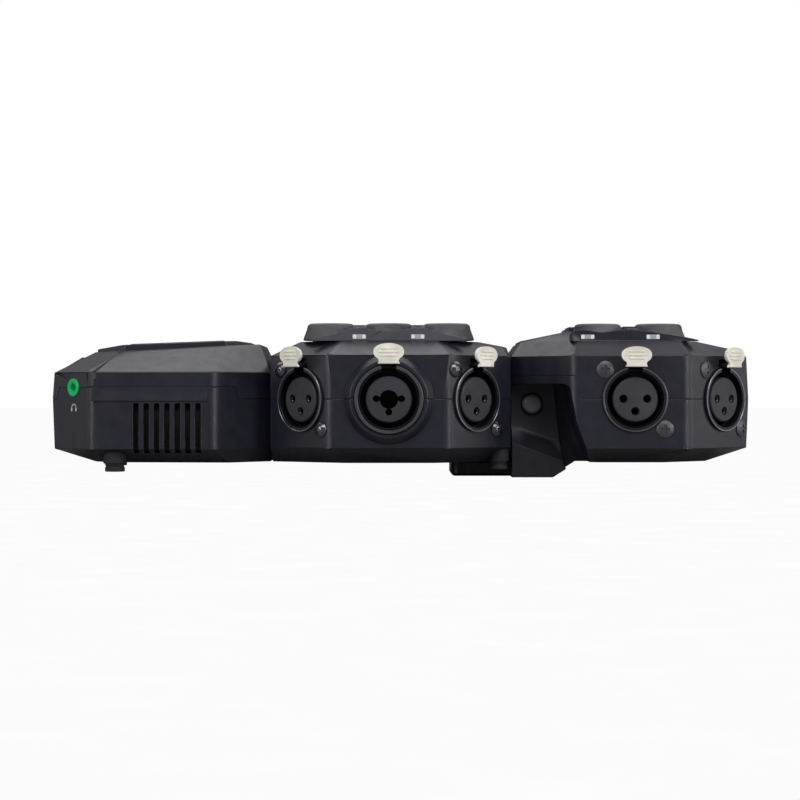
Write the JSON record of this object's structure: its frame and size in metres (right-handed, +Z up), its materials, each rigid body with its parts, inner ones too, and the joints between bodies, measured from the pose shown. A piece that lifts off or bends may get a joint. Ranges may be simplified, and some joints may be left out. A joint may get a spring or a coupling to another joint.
{
  "type": "portable audio field recorder",
  "caption": "Portable audio field recorder lying on its back: faceted case with three-pin and combination input sockets, gain knobs behind wavy guards, and a detachable input capsule.",
  "frame": {"origin": "bottom centre of the whole recorder with its capsule, as it lies on its back", "axes": "+Z up, out of the screen side; +X from the transport-key end to the capsule's free end; -Y is the side with the headphone jack"},
  "size_m": [0.2492, 0.1282, 0.0547],
  "materials": {
    "case": "fine grained charcoal moulding",
    "lower_case": "fine grained charcoal moulding",
    "guard": "smooth charcoal moulding",
    "knob": "matt soft touch",
    "key": "satin",
    "rec_key": "satin",
    "glass": "clear with a dark border",
    "screen": "dark display",
    "board": "green solder mask",
    "cell": "shrink wrapped cell",
    "speaker": "black paper cone and frame",
    "jack": "green ring round a black jack",
    "foot": "matt black",
    "screw": "black zinc",
    "brass": "machined",
    "tab": "ivory satin",
    "barrel": "black, worn bright on the rim",
    "insert": "black insulator",
    "button": "charcoal",
    "window": "milky light pipe, unlit"
  },
  "bodies": {
    "recorder": {"upper_case": "case", "lower_case": "lower_case", "knob_guards": "guard", "display_lens": "glass", "display_module": "screen", "main_board": "board", "battery_cells": "cell", "speaker": "speaker", "audio_jacks": "jack", "rubber_feet": "foot", "case_screws": "screw", "tripod_insert": "brass", "xlr_barrels": "barrel", "combo_barrels": "barrel", "socket_inserts": "insert", "socket_screws": "screw", "indicator_windows": "window"},
    "capsule": {"capsule_upper_case": "case", "capsule_lower_case": "lower_case", "capsule_board": "board", "capsule_xlr_barrels": "barrel", "capsule_xlr_inserts": "insert", "capsule_socket_screws": "screw", "capsule_indicator_windows": "window"},
    "battery_door": {"battery_door": "lower_case"},
    "card_door": {"card_door": "lower_case"},
    "power_switch": {"power_switch": "button"},
    "record_key": {"record_key": "rec_key"},
    "play_key": {"play_key": "key"},
    "stop_key": {"stop_key": "key"},
    "rewind_key": {"rewind_key": "key"},
    "forward_key": {"forward_key": "key"},
    "track_button_a": {"track_button_a": "key"},
    "track_button_1": {"track_button_1": "key"},
    "track_button_b": {"track_button_b": "key"},
    "track_button_c": {"track_button_c": "key"},
    "track_button_2": {"track_button_2": "key"},
    "track_button_d": {"track_button_d": "key"},
    "gain_knob_a": {"gain_knob_a": "knob"},
    "gain_knob_1": {"gain_knob_1": "knob"},
    "gain_knob_b": {"gain_knob_b": "knob"},
    "gain_knob_c": {"gain_knob_c": "knob"},
    "gain_knob_2": {"gain_knob_2": "knob"},
    "gain_knob_d": {"gain_knob_d": "knob"},
    "gain_knob_e": {"gain_knob_e": "knob"},
    "gain_knob_f": {"gain_knob_f": "knob"},
    "gain_knob_g": {"gain_knob_g": "knob"},
    "gain_knob_h": {"gain_knob_h": "knob"},
    "latch_a": {"latch_a": "tab"},
    "latch_c": {"latch_c": "tab"},
    "latch_b": {"latch_b": "tab"},
    "latch_d": {"latch_d": "tab"},
    "latch_1": {"latch_1": "tab"},
    "latch_2": {"latch_2": "tab"},
    "latch_e": {"latch_e": "tab"},
    "latch_g": {"latch_g": "tab"},
    "latch_f": {"latch_f": "tab"},
    "latch_h": {"latch_h": "tab"},
    "release_button_near": {"release_button_near": "button"},
    "release_button_far": {"release_button_far": "button"}
  },
  "joints": [
    {"name": "capsule_slide", "type": "slide", "parent": "recorder", "child": "capsule", "axis": [1, 0, 0], "range_m": [0, 0.03]},
    {"name": "battery_door_slide", "type": "slide", "parent": "recorder", "child": "battery_door", "axis": [0, 0, -1], "range_m": [0, 0.005]},
    {"name": "card_door_hinge", "type": "hinge", "parent": "recorder", "child": "card_door", "pos_m": [-0.0808, 0.0482, 0.0149], "axis": [-1, 0, 0], "range_deg": [0, 90]},
    {"name": "power_switch_slide", "type": "slide", "parent": "recorder", "child": "power_switch", "axis": [-0.7071, 0.7071, 0], "range_m": [0, 0.004]},
    {"name": "record_key_slide", "type": "slide", "parent": "recorder", "child": "record_key", "axis": [0.5145, 0, -0.8575], "range_m": [0, 0.0006], "stiffness_N_per_m": 300},
    {"name": "play_key_slide", "type": "slide", "parent": "recorder", "child": "play_key", "axis": [0.5145, 0, -0.8575], "range_m": [0, 0.0006], "stiffness_N_per_m": 300},
    {"name": "stop_key_slide", "type": "slide", "parent": "recorder", "child": "stop_key", "axis": [0.5145, 0, -0.8575], "range_m": [0, 0.0006], "stiffness_N_per_m": 300},
    {"name": "rewind_key_slide", "type": "slide", "parent": "recorder", "child": "rewind_key", "axis": [0.5145, 0, -0.8575], "range_m": [0, 0.0006], "stiffness_N_per_m": 300},
    {"name": "forward_key_slide", "type": "slide", "parent": "recorder", "child": "forward_key", "axis": [0.5145, 0, -0.8575], "range_m": [0, 0.0006], "stiffness_N_per_m": 300},
    {"name": "track_button_a_slide", "type": "slide", "parent": "recorder", "child": "track_button_a", "axis": [0, 0, -1], "range_m": [0, 0.0006], "stiffness_N_per_m": 300},
    {"name": "track_button_1_slide", "type": "slide", "parent": "recorder", "child": "track_button_1", "axis": [0, 0, -1], "range_m": [0, 0.0006], "stiffness_N_per_m": 300},
    {"name": "track_button_b_slide", "type": "slide", "parent": "recorder", "child": "track_button_b", "axis": [0, 0, -1], "range_m": [0, 0.0006], "stiffness_N_per_m": 300},
    {"name": "track_button_c_slide", "type": "slide", "parent": "recorder", "child": "track_button_c", "axis": [0, 0, -1], "range_m": [0, 0.0006], "stiffness_N_per_m": 300},
    {"name": "track_button_2_slide", "type": "slide", "parent": "recorder", "child": "track_button_2", "axis": [0, 0, -1], "range_m": [0, 0.0006], "stiffness_N_per_m": 300},
    {"name": "track_button_d_slide", "type": "slide", "parent": "recorder", "child": "track_button_d", "axis": [0, 0, -1], "range_m": [0, 0.0006], "stiffness_N_per_m": 300},
    {"name": "gain_knob_a_hinge", "type": "hinge", "parent": "recorder", "child": "gain_knob_a", "pos_m": [-0.0253, -0.0352, 0.0483], "axis": [0, 0, 1], "range_deg": [-150, 150]},
    {"name": "gain_knob_1_hinge", "type": "hinge", "parent": "recorder", "child": "gain_knob_1", "pos_m": [-0.0048, -0.0352, 0.0483], "axis": [0, 0, 1], "range_deg": [-150, 150]},
    {"name": "gain_knob_b_hinge", "type": "hinge", "parent": "recorder", "child": "gain_knob_b", "pos_m": [0.0157, -0.0352, 0.0483], "axis": [0, 0, 1], "range_deg": [-150, 150]},
    {"name": "gain_knob_c_hinge", "type": "hinge", "parent": "recorder", "child": "gain_knob_c", "pos_m": [-0.0253, 0.0352, 0.0483], "axis": [0, 0, 1], "range_deg": [-150, 150]},
    {"name": "gain_knob_2_hinge", "type": "hinge", "parent": "recorder", "child": "gain_knob_2", "pos_m": [-0.0048, 0.0352, 0.0483], "axis": [0, 0, 1], "range_deg": [-150, 150]},
    {"name": "gain_knob_d_hinge", "type": "hinge", "parent": "recorder", "child": "gain_knob_d", "pos_m": [0.0157, 0.0352, 0.0483], "axis": [0, 0, 1], "range_deg": [-150, 150]},
    {"name": "gain_knob_e_hinge", "type": "hinge", "parent": "capsule", "child": "gain_knob_e", "pos_m": [0.0698, -0.031, 0.0483], "axis": [0, 0, 1], "range_deg": [-150, 150]},
    {"name": "gain_knob_f_hinge", "type": "hinge", "parent": "capsule", "child": "gain_knob_f", "pos_m": [0.0914, -0.031, 0.0483], "axis": [0, 0, 1], "range_deg": [-150, 150]},
    {"name": "gain_knob_g_hinge", "type": "hinge", "parent": "capsule", "child": "gain_knob_g", "pos_m": [0.0698, 0.031, 0.0483], "axis": [0, 0, 1], "range_deg": [-150, 150]},
    {"name": "gain_knob_h_hinge", "type": "hinge", "parent": "capsule", "child": "gain_knob_h", "pos_m": [0.0914, 0.031, 0.0483], "axis": [0, 0, 1], "range_deg": [-150, 150]},
    {"name": "latch_a_hinge", "type": "hinge", "parent": "recorder", "child": "latch_a", "pos_m": [-0.03314, -0.04614, 0.03985], "axis": [-0.7071, 0.7071, 0], "range_deg": [0, 6], "stiffness_Nm_per_rad": 0.05},
    {"name": "latch_c_hinge", "type": "hinge", "parent": "recorder", "child": "latch_c", "pos_m": [-0.03314, 0.04614, 0.03985], "axis": [0.7071, 0.7071, 0], "range_deg": [0, 6], "stiffness_Nm_per_rad": 0.05},
    {"name": "latch_b_hinge", "type": "hinge", "parent": "recorder", "child": "latch_b", "pos_m": [0.02354, -0.04644, 0.03985], "axis": [-0.7071, -0.7071, 0], "range_deg": [0, 6], "stiffness_Nm_per_rad": 0.05},
    {"name": "latch_d_hinge", "type": "hinge", "parent": "recorder", "child": "latch_d", "pos_m": [0.02354, 0.04644, 0.03985], "axis": [0.7071, -0.7071, 0], "range_deg": [0, 6], "stiffness_Nm_per_rad": 0.05},
    {"name": "latch_1_hinge", "type": "hinge", "parent": "recorder", "child": "latch_1", "pos_m": [-0.00465, -0.055, 0.04075], "axis": [-1, 0, 0], "range_deg": [0, 6], "stiffness_Nm_per_rad": 0.05},
    {"name": "latch_2_hinge", "type": "hinge", "parent": "recorder", "child": "latch_2", "pos_m": [-0.00465, 0.055, 0.04075], "axis": [1, 0, 0], "range_deg": [0, 6], "stiffness_Nm_per_rad": 0.05},
    {"name": "latch_e_hinge", "type": "hinge", "parent": "capsule", "child": "latch_e", "pos_m": [0.0812, -0.0468, 0.03985], "axis": [-1, 0, 0], "range_deg": [0, 6], "stiffness_Nm_per_rad": 0.05},
    {"name": "latch_g_hinge", "type": "hinge", "parent": "capsule", "child": "latch_g", "pos_m": [0.0812, 0.0468, 0.03985], "axis": [1, 0, 0], "range_deg": [0, 6], "stiffness_Nm_per_rad": 0.05},
    {"name": "latch_f_hinge", "type": "hinge", "parent": "capsule", "child": "latch_f", "pos_m": [0.11194, -0.03354, 0.03985], "axis": [-0.7071, -0.7071, 0], "range_deg": [0, 6], "stiffness_Nm_per_rad": 0.05},
    {"name": "latch_h_hinge", "type": "hinge", "parent": "capsule", "child": "latch_h", "pos_m": [0.11194, 0.03354, 0.03985], "axis": [0.7071, -0.7071, 0], "range_deg": [0, 6], "stiffness_Nm_per_rad": 0.05},
    {"name": "release_button_near_slide", "type": "slide", "parent": "capsule", "child": "release_button_near", "axis": [0, 1, 0], "range_m": [0, 0.0015], "stiffness_N_per_m": 400},
    {"name": "release_button_far_slide", "type": "slide", "parent": "capsule", "child": "release_button_far", "axis": [0, -1, 0], "range_m": [0, 0.0015], "stiffness_N_per_m": 400}
  ]
}
